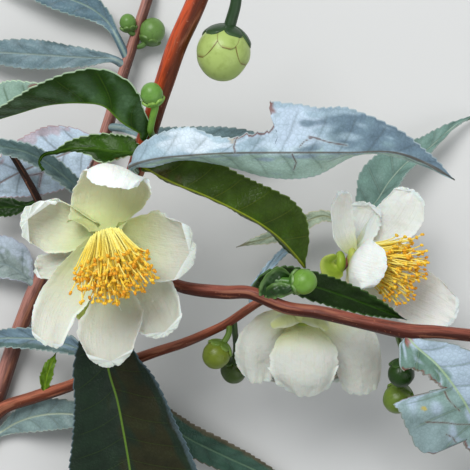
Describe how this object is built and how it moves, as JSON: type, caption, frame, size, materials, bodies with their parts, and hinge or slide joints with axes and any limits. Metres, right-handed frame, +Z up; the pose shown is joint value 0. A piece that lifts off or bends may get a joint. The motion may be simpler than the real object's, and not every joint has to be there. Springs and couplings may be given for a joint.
{
  "type": "cut tea plant branch in flower",
  "caption": "Cut branch of a tea plant with curved twigs, narrow toothed leaves, round green buds and white blooms with golden stamens, lying flat.",
  "frame": {"origin": "middle of the branch in plan, on the flat surface that it lies on", "axes": "+Z up from that surface towards the viewer, +Y along the upper stem's growth, +X to the viewer's right"},
  "size_m": [0.1204, 0.1396, 0.0544],
  "materials": {
    "stem": "satin bark",
    "leaf": "glossy leaf",
    "petal": "soft satin",
    "stamen": "powdery",
    "sepal": "satin",
    "bud": "satin"
  },
  "bodies": {
    "root": {"main_stem": "stem", "upper_stem": "stem", "right_stem": "stem", "lower_stem": "stem", "back_twig": "stem", "leaf_arched": "leaf", "leaf_hooked": "leaf", "leaf_long": "leaf", "leaf_olive": "leaf", "leaf_left_narrow": "leaf", "leaf_pale_broad": "leaf", "leaf_low_left": "leaf", "leaf_hanging": "leaf", "leaf_bitten": "leaf", "leaf_behind_bud": "leaf", "leaf_pale_low": "leaf", "leaf_back_left": "leaf", "leaf_back_right": "leaf", "leaf_back_low": "leaf", "leaf_back_top": "leaf", "leaf_behind_long": "leaf", "leaf_strip": "leaf", "leaf_left_low": "leaf", "leaf_young": "leaf", "leaf_dark_left": "leaf", "leaf_edge_on": "leaf", "bloom_front_petals": "petal", "bloom_front_stamens": "stamen", "bloom_front_calyx": "sepal", "bloom_side_petals": "petal", "bloom_side_stamens": "stamen", "bloom_side_calyx": "sepal", "bloom_hanging_petals": "petal", "bloom_hanging_stamens": "stamen", "bloom_hanging_calyx": "sepal", "bud_large": "bud", "bud_small": "bud", "bud_node": "bud", "bud_pair_upper": "bud", "bud_pair_lower": "bud", "bud_right_upper": "bud", "bud_right_lower": "bud", "bud_back_left": "bud", "bud_back_right": "bud"}
  },
  "joints": []
}
